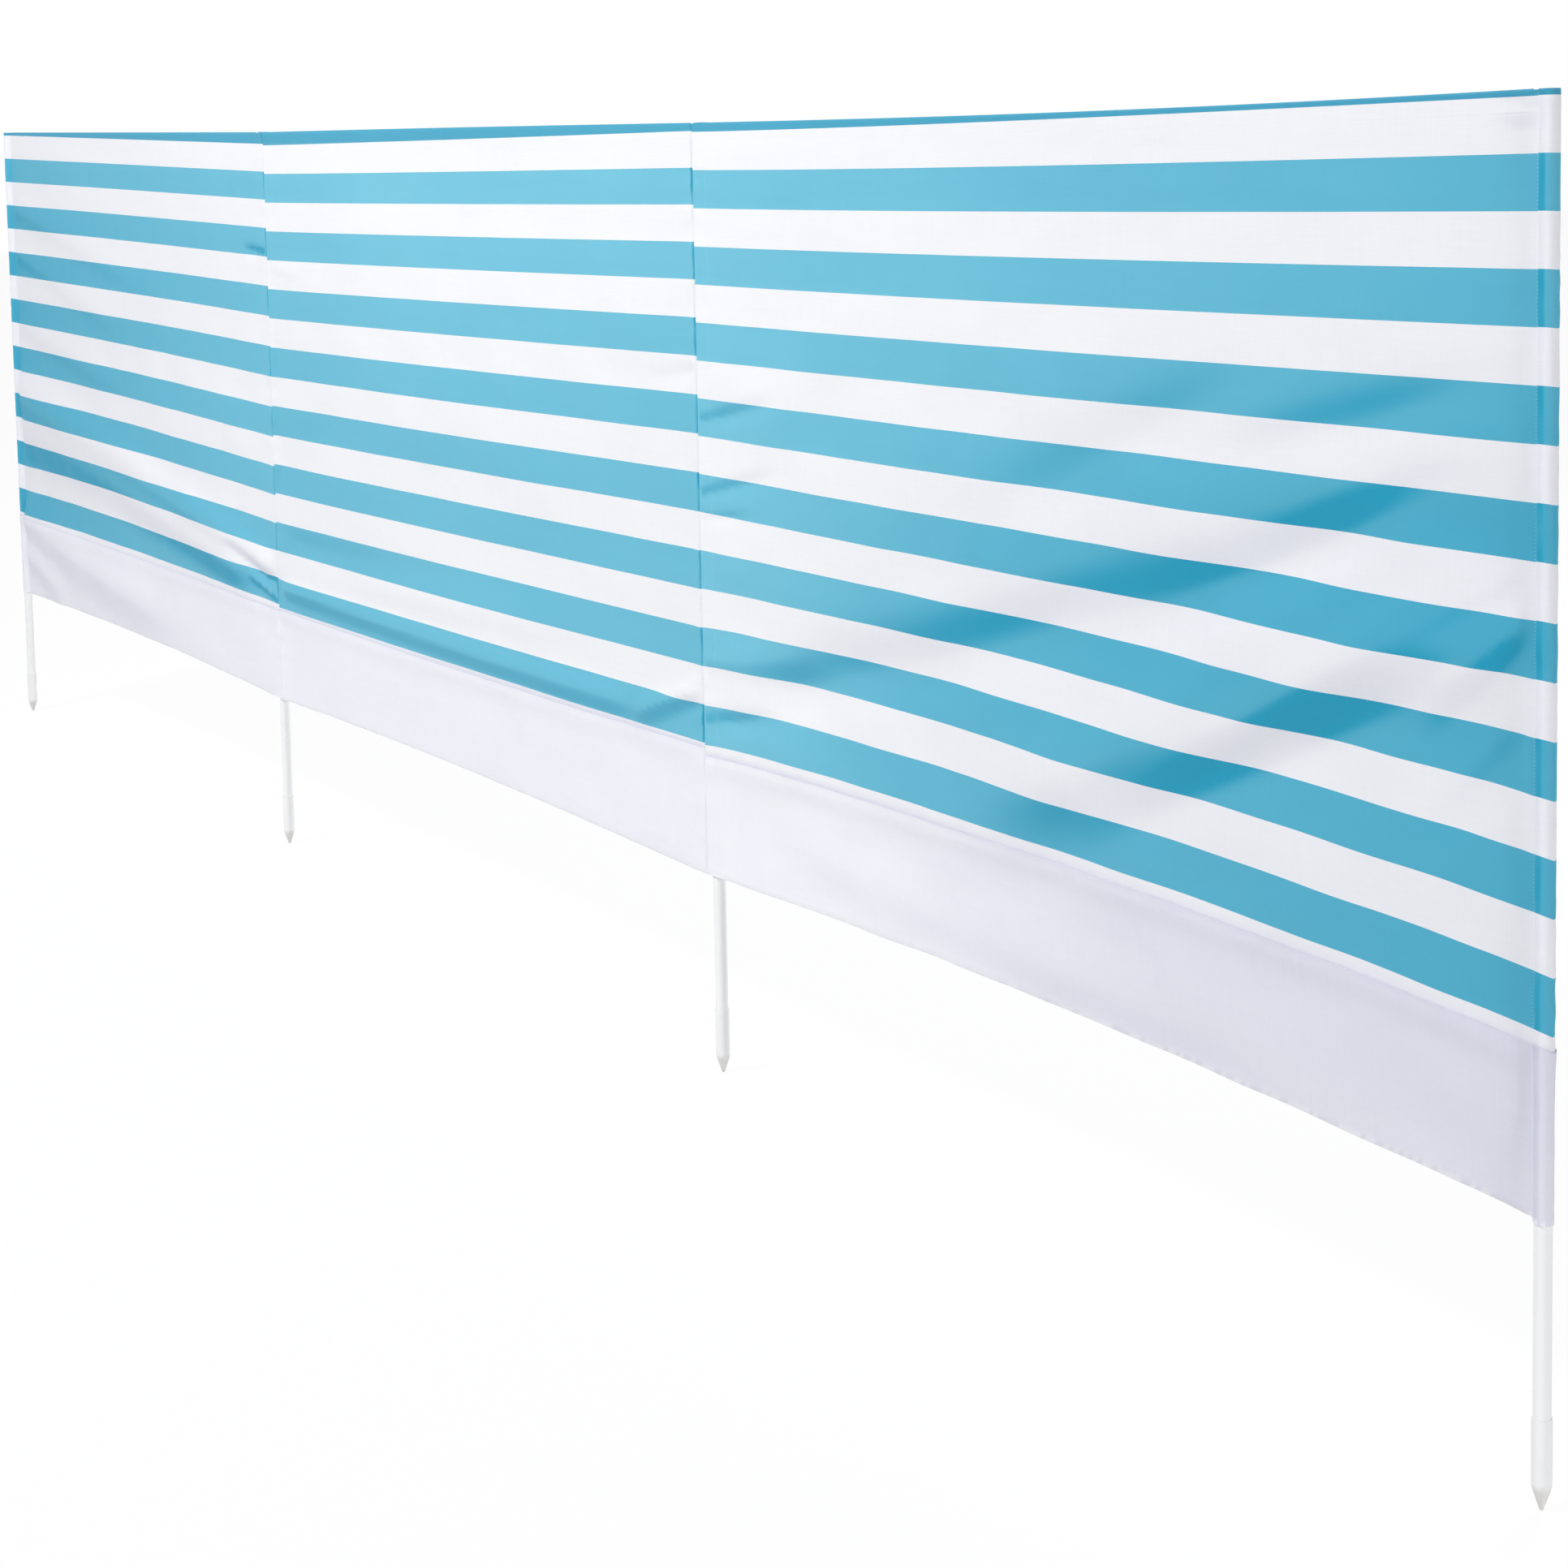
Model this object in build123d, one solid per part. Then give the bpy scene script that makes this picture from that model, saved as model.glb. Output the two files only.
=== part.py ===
import os

from build123d import *

# Cloth sizes in millimetres; the row runs along X, its front faces -Y and Z is up
panel_width = 1660.0  # from seam to seam, or from a seam to the outer side of an end pole
cloth_height = 1200.0  # at the two end poles, skirt included
inner_drop = 13.0  # the top edge hangs this much lower at the inner poles
skirt_height = 191.0
cloth_thickness = 1.2
top_hem_height = 26.0
bottom_hem_height = 20.0
skirt_lap = 10.0  # the skirt's folded upper edge on the front, half of it over the striped cloth

# Poles and their plastic fittings
free_pole = 208.0  # bare tube between the spike and the cloth
tube_radius = 10.0
tube_wall = 1.2
sleeve_wall = 1.15
sleeve_length = 74.0
bevel_height = 4.0
bevel_step = 0.7
cone_length = 25.0
tip_radius = 2.2
socket_floor = 8.0
plug_length = 22.0
plug_head = 3.0

# Pockets and seams
pole_clearance = 0.3  # between a tube and the cloth round it
plug_clearance = 0.15  # between a tube and the plastic on it or in it
tail_length = 5.5  # from an end pocket's round part to its stitching
seam_gap = 4.5  # from an inner pocket's round part to the seam beside it
near_flange = 1.5  # sewn edge of an inner pocket on the seam's side
far_flange = 12.0  # sewn edge of an inner pocket on the other side
seam_radius = 1.0
seam_clearance = 0.35  # between the seam's roll and the panel that folds about it
hem_gap = 2.0  # from a hem's end to the next pocket or seam

bay_names = ["left", "middle", "right"]

# Places worked out from the sizes above; the spikes' sleeves end at height 0
cloth_bottom = free_pole
skirt_top = cloth_bottom + skirt_height
cloth_top = cloth_bottom + cloth_height
inner_top = cloth_top - inner_drop
cloth_face = cloth_thickness / 2  # the panels lie about y = 0
sheath_bore = tube_radius + pole_clearance
sheath_radius = sheath_bore + cloth_thickness
stitch_offset = sheath_radius + tail_length
seam_offset = sheath_radius + seam_gap
flange_reach = sheath_radius + far_flange
inner_pole_y = cloth_face + pole_clearance + tube_radius
tube_foot = -(sleeve_length - socket_floor)
plug_seat = inner_top - cloth_thickness - pole_clearance - plug_head
left_seam = panel_width - sheath_radius
right_seam = left_seam + panel_width
last_pole = right_seam + panel_width - sheath_radius
pole_places = [0, left_seam - seam_offset, right_seam + seam_offset, last_pole]
pole_count = len(pole_places)
panel_gap = seam_radius + seam_clearance


def is_end(pole):
    return pole in (0, pole_count - 1)


def pole_axis(pole):
    """The place of a pole in plan: end poles lie in the cloth's plane, inner ones behind it."""
    return Pos(pole_places[pole], 0 if is_end(pole) else inner_pole_y, 0)


def cloth_side(pole):
    """+1 where a pole's pocket opens out towards +X, as on the left half, else -1."""
    return 1 if pole < pole_count / 2 else -1


def turned(points):
    """A solid of revolution about Z from a closed outline of (radius, height) points."""
    return revolve(Plane.XZ * make_face(Polyline(*points, close=True)), Axis.Z)


def tube():
    height = plug_seat - tube_foot
    column = Pos(0, 0, tube_foot) * Cylinder(tube_radius, height, align=(Align.CENTER, Align.CENTER, Align.MIN))
    hollow = Pos(0, 0, tube_foot) * Cylinder(
        tube_radius - tube_wall, height, align=(Align.CENTER, Align.CENTER, Align.MIN)
    )
    return column - hollow


def spike():
    """A moulded ferrule: a sleeve with a socket for the tube, and a blunt cone under it."""
    socket = tube_radius + plug_clearance
    spike_radius = socket + sleeve_wall
    cone_top = -sleeve_length - bevel_height
    tip = cone_top - cone_length
    return turned([
        (0, tip),
        (tip_radius, tip),
        (spike_radius - bevel_step, cone_top),
        (spike_radius, -sleeve_length),
        (spike_radius, 0),
        (socket, 0),
        (socket, tube_foot),
        (0, tube_foot),
    ])


def plug():
    """A plastic plug: a stem pushed into the tube's upper end, under a flat head."""
    bore = tube_radius - tube_wall - plug_clearance
    return turned([
        (0, plug_seat + plug_head),
        (tube_radius, plug_seat + plug_head),
        (tube_radius, plug_seat),
        (bore, plug_seat),
        (bore, plug_seat - plug_length),
        (0, plug_seat - plug_length),
    ])


def end_sheath_outline(side):
    """The cloth of a hem pocket wraps its pole and closes on itself at the stitching."""
    tail = Polyline(
        (side * stitch_offset, -cloth_thickness),
        (side * stitch_offset, cloth_thickness),
    )
    return make_hull(CenterArc((0, 0), sheath_radius, 0, 360).edges() + tail.edges())


def inner_sheath_outline(side):
    """A strap over the back of an inner pole, sewn down on both sides of it."""
    near = side * (sheath_radius + near_flange)
    far = -side * flange_reach
    base = cloth_face - inner_pole_y
    foot = Polyline((near, base), (far, base))
    outline = make_hull(CenterArc((0, 0), sheath_radius, 0, 360).edges() + foot.edges())
    above_base = Pos(0, base) * Rectangle(4 * flange_reach, sheath_radius * 4, align=(Align.CENTER, Align.MIN))
    return outline & above_base


def sheath(pole, low, high, closed):
    """One pocket between two heights, open below and closed above where the cloth ends."""
    side = cloth_side(pole)
    outline = end_sheath_outline(side) if is_end(pole) else inner_sheath_outline(side)
    hollow = offset(outline, amount=-cloth_thickness)
    if not is_end(pole):
        hollow += Pos(0, -cloth_thickness) * hollow
    hollow_height = high - low - (cloth_thickness if closed else 0)
    solid = extrude(outline, high - low) - extrude(hollow, hollow_height)
    return pole_axis(pole) * Pos(0, 0, low) * solid


def strip(corners, front):
    """Flat cloth with the given (x, z) corners, from y = front backwards."""
    face = Plane.XZ.offset(-front) * make_face(Polyline(*corners, close=True))
    return extrude(face, -cloth_thickness)


def seam_roll(place, low, high):
    roll = Cylinder(seam_radius, high - low, align=(Align.CENTER, Align.CENTER, Align.MIN))
    return Pos(place, 0, low) * roll


def bay_sides(bay):
    """Where a bay's cloth starts and ends along X."""
    starts = [pole_places[0] + stitch_offset, left_seam + panel_gap, right_seam]
    ends = [left_seam, right_seam - panel_gap, pole_places[-1] - stitch_offset]
    return starts[bay], ends[bay]


def hem_sides(bay):
    """Where a bay's hems start and end along X, clear of the pockets behind the cloth."""
    start, end = bay_sides(bay)
    if bay == 0:
        end = pole_places[1] - flange_reach
    if bay == len(bay_names) - 1:
        start = pole_places[2] + flange_reach
    return start + hem_gap, end - hem_gap


def lap_sides(bay):
    """Where the skirt's folded edge starts and ends, clear of the end pockets and the seams."""
    start, end = bay_sides(bay)
    if bay == 0:
        end -= panel_gap
    if bay == len(bay_names) - 1:
        start += panel_gap
    return start + hem_gap, end - hem_gap


def top_at(bay, x):
    """Height of the cloth's top edge: it slopes down from the end poles to the inner ones."""
    if bay == 1:
        return inner_top
    start, end = bay_sides(bay)
    outer, inner = (start, end) if bay == 0 else (end, start)
    return cloth_top - inner_drop * (x - outer) / (inner - outer)


def panel(bay):
    start, end = bay_sides(bay)
    corners = [(start, skirt_top), (end, skirt_top), (end, top_at(bay, end)), (start, top_at(bay, start))]
    return strip(corners, -cloth_face)


def skirt(bay):
    start, end = bay_sides(bay)
    corners = [(start, cloth_bottom), (end, cloth_bottom), (end, skirt_top), (start, skirt_top)]
    start, end = lap_sides(bay)
    low, high = skirt_top - skirt_lap / 2, skirt_top + skirt_lap / 2
    lap = [(start, low), (end, low), (end, high), (start, high)]
    return strip(corners, -cloth_face) + strip(lap, -cloth_face - cloth_thickness)


def top_hem(bay):
    """The cloth's upper edge turned over to the back."""
    start, end = hem_sides(bay)
    left, right = top_at(bay, start), top_at(bay, end)
    corners = [(start, left - top_hem_height), (end, right - top_hem_height), (end, right), (start, left)]
    return strip(corners, cloth_face)


def bottom_hem(bay):
    """The skirt's lower edge turned over to the back."""
    start, end = hem_sides(bay)
    top = cloth_bottom + bottom_hem_height
    corners = [(start, cloth_bottom), (end, cloth_bottom), (end, top), (start, top)]
    return strip(corners, cloth_face)


def write(name, solid):
    export_step(solid, f"parts/{name}.step")


os.makedirs("parts", exist_ok=True)

for pole in range(pole_count):
    number = pole + 1
    top = cloth_top if is_end(pole) else inner_top
    write(f"pole_{number}_tube", pole_axis(pole) * tube())
    write(f"pole_{number}_spike", pole_axis(pole) * spike())
    write(f"pole_{number}_plug", pole_axis(pole) * plug())
    write(f"pole_{number}_pocket", sheath(pole, skirt_top, top, True))
    write(f"pole_{number}_skirt_pocket", sheath(pole, cloth_bottom, skirt_top, False))

seam_of_bay = {0: left_seam, 2: right_seam}
for bay, name in enumerate(bay_names):
    striped = panel(bay)
    plain = skirt(bay)
    if bay in seam_of_bay:
        striped += seam_roll(seam_of_bay[bay], skirt_top, inner_top)
        plain += seam_roll(seam_of_bay[bay], cloth_bottom, skirt_top)
    write(f"{name}_panel", striped)
    write(f"{name}_skirt", plain)
    write(f"{name}_top_hem", top_hem(bay))
    write(f"{name}_bottom_hem", bottom_hem(bay))
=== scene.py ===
import math

import bpy
import bmesh
import numpy as np
from mathutils import Matrix, Vector


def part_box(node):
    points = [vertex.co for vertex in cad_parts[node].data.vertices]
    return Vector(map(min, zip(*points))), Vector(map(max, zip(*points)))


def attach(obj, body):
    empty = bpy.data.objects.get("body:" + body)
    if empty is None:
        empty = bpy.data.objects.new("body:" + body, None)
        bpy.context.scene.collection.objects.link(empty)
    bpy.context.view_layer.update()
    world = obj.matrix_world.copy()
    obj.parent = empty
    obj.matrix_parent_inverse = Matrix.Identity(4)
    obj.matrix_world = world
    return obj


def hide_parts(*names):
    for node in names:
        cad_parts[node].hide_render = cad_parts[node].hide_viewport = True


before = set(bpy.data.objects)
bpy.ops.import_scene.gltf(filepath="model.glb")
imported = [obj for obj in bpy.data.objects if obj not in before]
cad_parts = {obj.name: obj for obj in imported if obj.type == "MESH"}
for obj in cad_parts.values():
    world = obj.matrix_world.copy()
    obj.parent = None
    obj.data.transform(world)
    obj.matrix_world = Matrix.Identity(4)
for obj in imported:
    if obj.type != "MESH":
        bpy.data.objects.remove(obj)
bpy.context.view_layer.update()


def pole_place(number):
    low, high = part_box(f"pole_{number}_tube")
    return (low[0] + high[0]) / 2, (low[1] + high[1]) / 2


# Places and sizes in metres, in the part's own frame
poles = [pole_place(number) for number in (1, 2, 3, 4)]
seam_offset = 0.016  # from an inner pole's axis to the seam beside it
left_seam = poles[1][0] + seam_offset
right_seam = poles[2][0] - seam_offset
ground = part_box("pole_1_spike")[0][2]
cloth_thickness = 0.0007
pocket_radius = 0.0109  # from a pole's axis to the middle of the cloth round it
pocket_edge = 0.0115  # from an end pole's axis to the outermost cloth
stitch_offset = 0.0135  # from an end pole's axis to its pocket's stitching
tail_reach = 0.0062  # sewn edge of an end pocket behind the cloth
strap_stitch = 0.0172  # from an inner pole's axis to the strap's far stitching
strap_reach = 0.0235  # and to the strap's far edge
strap_near = 0.0128  # and to the strap's edge on the seam's side
strap_back = 0.0013  # the strap's edges lie this far behind the flat cloth
top_hem = 0.026
top_line = 0.023  # its row of stitches, under the top edge
bottom_hem = 0.020
bottom_line = 0.017  # its row of stitches, over the lower edge
hem_gap = 0.002  # from a hem's end to the next pocket's cloth
fold_radius = 0.0009  # of a turned edge
stripe_count = 16  # white and blue, under the blue hem
lap_height = 0.010  # the skirt's folded edge over the striped cloth
lap_lines = (0.003, 0.008)  # its two rows of stitches, under its top edge
lap_base = 0.0011  # its turned-in edge lies this far out
lap_step = 0.0036  # and its fold at most this far
lap_fall = 0.042  # the skirt comes back to the cloth's plane this far below its top edge
stitch_pitch = 0.0042
stitch_end = 0.002  # from an upright row's ends to the cloth's edges
column_step = 0.0070  # between the columns of points across a bay
stitching = {"left": poles[0][0] + stitch_offset, "right": poles[3][0] - stitch_offset}
end_poles = {"left": poles[0], "right": poles[3]}
inner_poles = {"left": poles[1], "right": poles[2]}


# ---- shapes of the cloth ----


def smooth(low, high, value):
    share = np.clip((value - low) / (high - low), 0.0, 1.0)
    return share * share * (3.0 - 2.0 * share)


def run(share, first, last, bow=0.0, power=1.0, bow_power=1.0):
    """A height that goes from first to last along a bay and bows up between them."""
    share = np.clip(share, 0.0, 1.0)
    return first + (last - first) * share**power + bow * np.sin(math.pi * share) ** bow_power


# Per bay, heights along it as run() reads them: its upper edge (top), the foot of its blue hem (band), the foot of its
# last stripe (low), the white cloth from there to the skirt (margin) and its lower edge (bottom). lift raises the last
# stripes in the bay's middle, stretch spaces the stripes, sway is how far the foot hangs back, lap how much the skirt's
# lap stands out, and lean and seed are those of the slow waves.
bays = {
    "left": {
        "ends": (poles[0][0] - pocket_edge, left_seam),
        "seams": (left_seam,),
        "top": (1.408, 1.3945),
        "band": (1.4015, 1.3715),
        "low": (0.421, 0.412, 0.0045),
        "lift": 0.0,
        "stretch": (0.007, -0.0015, 0.0, 0.0085),
        "margin": (0.008, 0.012, 0.004),
        "bottom": (0.2125, 0.211, 0.0095),
        "sway": 0.004,
        "lap": 0.6,
        "lean": 1.35,
        "seed": 3,
    },
    "middle": {
        "ends": (left_seam, right_seam),
        "seams": (left_seam, right_seam),
        "top": (1.3945, 1.3945, 0.001),
        "band": (1.3685, 1.383, 0.0, 1.2),
        "low": (0.406, 0.426, 0.0, 1.5),
        "lift": 0.0,
        "stretch": (0.003, 0.01, 0.002, 0.003),
        "margin": (0.003, 0.006, 0.002),
        "bottom": (0.21, 0.216, 0.008),
        "sway": 0.003,
        "lap": 0.7,
        "lean": 1.5,
        "seed": 5,
    },
    "right": {
        "ends": (right_seam, poles[3][0] + pocket_edge),
        "seams": (right_seam,),
        "top": (1.3945, 1.4115, 0.0, 2.6),
        "band": (1.3815, 1.405, 0.0, 1.5),
        "low": (0.4225, 0.4185, 0.0),
        "lift": 0.0215,
        "stretch": (0.009, 0.009, -0.002, 0.001),
        "margin": (0.0165, 0.0165, 0.0),
        "bottom": (0.214, 0.2135, 0.0165, 1.0, 0.7),
        "sway": 0.009,
        "lap": 1.0,
        "lean": 1.95,
        "seed": 8,
    },
}


def along(bay, x):
    start, end = bays[bay]["ends"]
    return (x - start) / (end - start)


def height_of(bay, what, x):
    return run(along(bay, x), *bays[bay][what])


def lift_at(bay, x):
    share = np.clip(along(bay, x), 0.0, 1.0)
    return bays[bay]["lift"] * np.sin(math.pi * share) ** 0.7


def stripe_height(bay, share, x):
    """Height of the line that lies at this share of the way from the hem band to the last stripe's foot."""
    first = height_of(bay, "band", x)
    last = height_of(bay, "low", x)
    before, after, twist_before, twist_after = bays[bay]["stretch"]
    here = np.clip(along(bay, x), 0.0, 1.0)
    z = first + (last - first) * share + 4.0 * share * (1.0 - share) * (before + (after - before) * here)
    z = z + np.sin(2.0 * math.pi * share) * (twist_before + (twist_after - twist_before) * here)
    z = z + lift_at(bay, x) * smooth(0.60, 0.93, share)
    if bay == "left":
        # the last stripes crowd together in the bay's middle
        z = z + 0.009 * np.exp(-(((share - 0.885) / 0.05) ** 2)) * np.sin(math.pi * here)
    return z


def skirt_top(bay, x):
    return height_of(bay, "low", x) + lift_at(bay, x) - height_of(bay, "margin", x)


# Folds: start and end as (x, z), bend, height towards the front, width at the start and at the end, and the share of
# the length over which each end fades
folds = {
    "left": [
        ((0.01, 0.742), (1.645, 0.488), 0.006, 0.0094, 0.06, 0.032, 0.02, 0.03),
        ((0.0, 0.65), (1.56, 0.442), 0.01, 0.007, 0.07, 0.034, 0.05, 0.12),
        ((0.02, 1.222), (1.05, 1.035), 0.0, 0.0022, 0.03, 0.046, 0.03, 0.3),
        ((0.02, 1.105), (0.86, 0.93), 0.0, 0.0022, 0.026, 0.046, 0.03, 0.3),
        ((0.01, 0.93), (0.9, 0.8), -0.01, 0.0022, 0.03, 0.044, 0.05, 0.4),
        ((1.36, 0.515), (1.647, 0.452), 0.0, -0.0038, 0.018, 0.012, 0.3, 0.02),
        ((1.48, 0.462), (1.647, 0.425), 0.0, 0.0026, 0.012, 0.008, 0.35, 0.02),
        ((0.01, 0.415), (1.25, 0.288), -0.022, 0.0098, 0.052, 0.072, 0.02, 0.4),
        ((0.01, 0.32), (0.33, 0.24), 0.0, 0.005, 0.032, 0.044, 0.05, 0.45),
        ((1.5, 1.15), (1.645, 1.142), 0.0, -0.0026, 0.014, 0.01, 0.6, 0.05),
    ],
    "middle": [
        ((1.655, 0.452), (3.18, 0.452), -0.006, 0.0046, 0.018, 0.022, 0.04, 0.12),
        ((1.655, 0.552), (2.6, 0.562), -0.006, -0.0024, 0.026, 0.038, 0.12, 0.55),
        ((1.9, 0.52), (3.15, 0.56), -0.01, 0.0026, 0.03, 0.04, 0.3, 0.3),
        ((3.08, 0.432), (3.306, 0.513), 0.0, 0.0056, 0.022, 0.014, 0.35, 0.03),
        ((3.12, 0.98), (3.306, 1.01), 0.0, -0.0018, 0.022, 0.012, 0.5, 0.05),
        ((1.66, 1.12), (1.85, 1.11), 0.0, 0.0014, 0.01, 0.02, 0.05, 0.5),
        ((1.8, 0.9), (3.0, 0.8), 0.0, 0.003, 0.07, 0.09, 0.4, 0.4),
    ],
    "right": [
        ((4.945, 1.03), (3.4, 0.505), 0.036, -0.0096, 0.04, 0.066, 0.24, 0.12),
        ((4.945, 0.908), (3.9, 0.448), 0.022, 0.0108, 0.044, 0.078, 0.24, 0.28),
        ((4.86, 0.8), (4.25, 0.49), 0.012, -0.0044, 0.03, 0.05, 0.35, 0.35),
        ((4.945, 1.122), (4.3, 0.935), 0.008, -0.0046, 0.028, 0.046, 0.4, 0.45),
        ((4.62, 1.13), (3.9, 0.8), 0.006, -0.0056, 0.044, 0.062, 0.45, 0.45),
        ((4.9, 1.08), (3.95, 0.64), 0.014, 0.0015, 0.026, 0.036, 0.35, 0.4),
        ((4.9, 1.01), (4.15, 0.56), 0.012, 0.0016, 0.024, 0.034, 0.3, 0.4),
        ((4.9, 0.95), (4.3, 0.52), 0.01, 0.0015, 0.022, 0.03, 0.3, 0.4),
        ((4.7, 0.8), (4.15, 0.45), 0.008, 0.0014, 0.022, 0.03, 0.35, 0.4),
        ((4.945, 0.905), (4.74, 0.79), 0.004, -0.0016, 0.014, 0.02, 0.25, 0.5),
        ((4.945, 0.872), (4.75, 0.715), 0.004, 0.0018, 0.014, 0.02, 0.25, 0.5),
        ((4.945, 0.845), (4.74, 0.655), 0.004, -0.0018, 0.014, 0.02, 0.25, 0.5),
        ((4.945, 0.815), (4.72, 0.6), 0.004, -0.0018, 0.016, 0.024, 0.25, 0.5),
        ((4.945, 0.76), (4.76, 0.53), 0.004, -0.0026, 0.024, 0.036, 0.3, 0.45),
        ((3.311, 0.815), (3.58, 0.878), 0.0, -0.0024, 0.01, 0.02, 0.04, 0.5),
        ((3.311, 0.93), (3.58, 0.985), 0.0, -0.0024, 0.01, 0.02, 0.04, 0.5),
        ((3.311, 0.78), (3.48, 0.8), 0.0, -0.0014, 0.007, 0.012, 0.04, 0.5),
        ((3.311, 0.56), (3.7, 0.61), 0.0, 0.003, 0.022, 0.034, 0.04, 0.5),
        ((3.311, 0.455), (3.56, 0.5), 0.0, -0.0034, 0.013, 0.024, 0.04, 0.5),
        ((4.945, 1.394), (4.87, 1.4), 0.0, -0.0016, 0.003, 0.006, 0.01, 0.6),
        ((4.945, 1.384), (4.865, 1.386), 0.0, 0.0014, 0.0034, 0.006, 0.01, 0.6),
        ((4.945, 1.373), (4.89, 1.37), 0.0, -0.001, 0.003, 0.006, 0.01, 0.6),
        ((3.4, 0.33), (4.7, 0.29), -0.02, 0.0036, 0.03, 0.06, 0.25, 0.25),
    ],
}


fold_scale = 1.4  # all folds, against the heights in the table


def fold(x, z, start, end, bend, height, width_start, width_end, fade_start, fade_end):
    """One fold: a ridge or a valley along a slightly bent line."""
    run_x, run_z = end[0] - start[0], end[1] - start[1]
    length = math.hypot(run_x, run_z)
    part = ((x - start[0]) * run_x + (z - start[1]) * run_z) / length**2
    inside = np.clip(part, 0.0, 1.0)
    away = ((z - start[1]) * run_x - (x - start[0]) * run_z) / length
    away = away - bend * 4.0 * inside * (1.0 - inside)
    width = width_start + (width_end - width_start) * inside
    shown = smooth(0.0, fade_start, part) * smooth(0.0, fade_end, 1.0 - part)
    return fold_scale * height * shown * np.exp(-((away / width) ** 2))


def folded(bay, x, z):
    out = np.zeros(np.broadcast(x, z).shape)
    for one in folds[bay]:
        out = out + fold(x, z, *one)
    return out


def waves(x, z, count, shortest, longest, lean, seed):
    """A slow irregular surface from many plane waves, mostly between -1 and 1."""
    dice = np.random.default_rng(seed)
    total = np.zeros(np.broadcast(x, z).shape)
    for _ in range(count):
        length = shortest * (longest / shortest) ** dice.random()
        angle = lean + dice.normal(0.0, 0.5)
        turn = dice.random() * 2.0 * math.pi
        total = total + np.sin((x * math.cos(angle) + z * math.sin(angle)) * 2.0 * math.pi / length + turn)
    return total / math.sqrt(count)


def puckers(place, seed, length=0.030):
    """Small gathers along a line of stitches."""
    wander = 2.2 * waves(place, 0.0 * place, 5, 3.0 * length, 12.0 * length, 0.0, seed)
    swell = 0.6 + 0.4 * waves(place, 0.0 * place, 4, 6.0 * length, 20.0 * length, 0.0, seed + 1)
    return np.sin(place * 2.0 * math.pi / length + wander) * np.clip(swell, 0.1, 1.2)


def relief(bay, x, z):
    """How far the cloth stands towards the front of its flat plane."""
    lean, seed = bays[bay]["lean"], bays[bay]["seed"]
    below = height_of(bay, "top", x) - z
    # Slow unevenness: fine, over the whole bay, and where the cloth hangs loose
    out = folded(bay, x, z)
    out = out + 0.00045 * waves(x, z, 14, 0.07, 0.30, lean, seed)
    out = out + 0.0016 * waves(x, z, 6, 0.5, 1.4, lean, seed + 20)
    loose = 0.0017 if bay == "right" else 0.0009
    out = out + loose * waves(x, z, 7, 0.14, 0.40, lean, seed + 30) * smooth(0.10, 0.45, below)
    here = np.clip(along(bay, x), 0.0, 1.0)
    foot = np.clip((skirt_top(bay, x) - z) / 0.18, 0.0, 1.0)
    out = out - bays[bay]["sway"] * np.sin(math.pi * here) * foot
    # It is taut under the top edge and at the seams
    out = out * (0.25 + 0.75 * np.clip(below / 0.05, 0.0, 1.0))
    for seam in bays[bay]["seams"]:
        out = out * smooth(0.0, 0.035, np.abs(x - seam))
    # An inner pole behind the cloth keeps it from going back
    if bay in inner_poles:
        near = inner_poles[bay][0]
        close = 1.0 - smooth(0.026, 0.060, np.abs(x - near))
        out = np.where(out < 0.0, out * (1.0 - close), out)
        out = out + 0.0005 * np.exp(-(((x - near) / 0.008) ** 2))
    # The two turned edges of a seam roll back into it
    for seam in (left_seam, right_seam):
        distance = np.abs(x - seam)
        valley = 0.0018 * (1.0 - np.exp(-distance / 0.0022)) * np.exp(-((distance / 0.016) ** 2))
        gather = 0.0015 * puckers(z, 40 + int(seam * 10), 0.044) * np.exp(-distance / 0.024)
        out = out + (valley + gather * smooth(0.0, 0.008, distance)) * (distance < 0.09)
    # Gathers at the top hem, the skirt's seam and the lower hem: height, seed, length and reach
    lines = [
        (height_of(bay, "top", x) - top_line, 0.00022, 50, 0.028, 0.010),
        (skirt_top(bay, x) - 0.004, 0.00060, 60, 0.036, 0.012),
        (height_of(bay, "bottom", x) + bottom_line, 0.00045, 70, 0.042, 0.014),
    ]
    for line, height, own_seed, length, reach in lines:
        out = out + height * puckers(x, seed + own_seed, length) * np.exp(-np.abs(line - z) / reach)
    return out


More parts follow.
